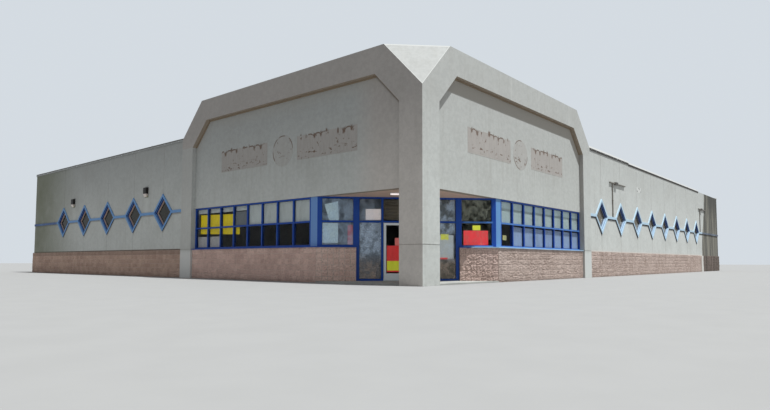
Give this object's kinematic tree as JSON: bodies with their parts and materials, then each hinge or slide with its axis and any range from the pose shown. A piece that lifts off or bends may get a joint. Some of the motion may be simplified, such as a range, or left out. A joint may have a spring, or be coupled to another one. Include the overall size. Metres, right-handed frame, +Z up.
{
  "type": "corner pharmacy building, 1:2 scale model",
  "caption": "One-storey corner store with raised chamfered portals, diagonal glazed entry, ribbon windows, diamond windows on a belt and block wainscot; 1:2 model.",
  "frame": {"origin": "centre of the building's footprint, on the ground", "axes": "+Z up; +X along the right street front, away from the public corner; +Y along the left street front, away from the public corner, so the entry faces -X and -Y"},
  "size_m": [21.29, 15.44, 3.81],
  "materials": {
    "stucco": "sand float stucco, weathered",
    "split_face_block": "split-face block",
    "blue_frame": "factory paint",
    "blue_trim": "faded paint",
    "window_glass": "clear insulating glass",
    "clear_aluminium": "clear anodised",
    "white_coping": "factory paint",
    "soffit_paint": "matt paint",
    "light_diffuser": "frosted",
    "dark_fixture": "satin",
    "roofing": "matt membrane",
    "concrete": "trowelled"
  },
  "bodies": {
    "building": {"corner_head": "stucco", "corner_pier": "stucco", "crossbar_lights": "dark_fixture", "door_header": "blue_frame", "end_coping": "white_coping", "end_wainscot": "split_face_block", "end_wall": "stucco", "entry_bulkhead": "stucco", "entry_soffit": "soffit_paint", "floor_slab": "concrete", "left_base_wall": "split_face_block", "left_belt": "blue_trim", "left_coping": "white_coping", "left_corner_post": "blue_frame", "left_diamond_frames": "blue_frame", "left_diamond_glass": "window_glass", "left_entry_glass": "window_glass", "left_entry_window": "blue_frame", "left_portal_beam": "stucco", "left_portal_pier": "stucco", "left_sign_panel": "stucco", "left_wainscot": "split_face_block", "left_wall": "stucco", "left_wall_lights": "dark_fixture", "left_window_frame": "blue_frame", "left_window_glass": "window_glass", "left_window_sill": "blue_frame", "rear_coping": "white_coping", "rear_wainscot": "split_face_block", "rear_wall": "stucco", "right_base_wall": "split_face_block", "right_belt": "blue_trim", "right_coping": "white_coping", "right_corner_post": "blue_frame", "right_diamond_frames": "blue_frame", "right_diamond_glass": "window_glass", "right_end_wainscot": "split_face_block", "right_entry_glass": "window_glass", "right_entry_window": "blue_frame", "right_portal_beam": "stucco", "right_portal_pier": "stucco", "right_sign_panel": "stucco", "right_wainscot": "split_face_block", "right_wall": "stucco", "right_window_frame": "blue_frame", "right_window_glass": "window_glass", "right_window_sill": "blue_frame", "roof_deck": "roofing", "soffit_light": "light_diffuser", "transom_glass": "window_glass"},
    "left_door": {"left_door_leaf": "clear_aluminium", "left_door_glass": "window_glass"},
    "right_door": {"right_door_leaf": "clear_aluminium", "right_door_glass": "window_glass"}
  },
  "joints": [
    {"name": "left_door_hinge", "type": "hinge", "parent": "building", "child": "left_door", "pos_m": [-9.7134, -6.18029, 0.53], "axis": [0, 0, -1], "range_deg": [0, 90]},
    {"name": "right_door_hinge", "type": "hinge", "parent": "building", "child": "right_door", "pos_m": [-9.10529, -6.7884, 0.53], "axis": [0, 0, 1], "range_deg": [0, 90]}
  ]
}
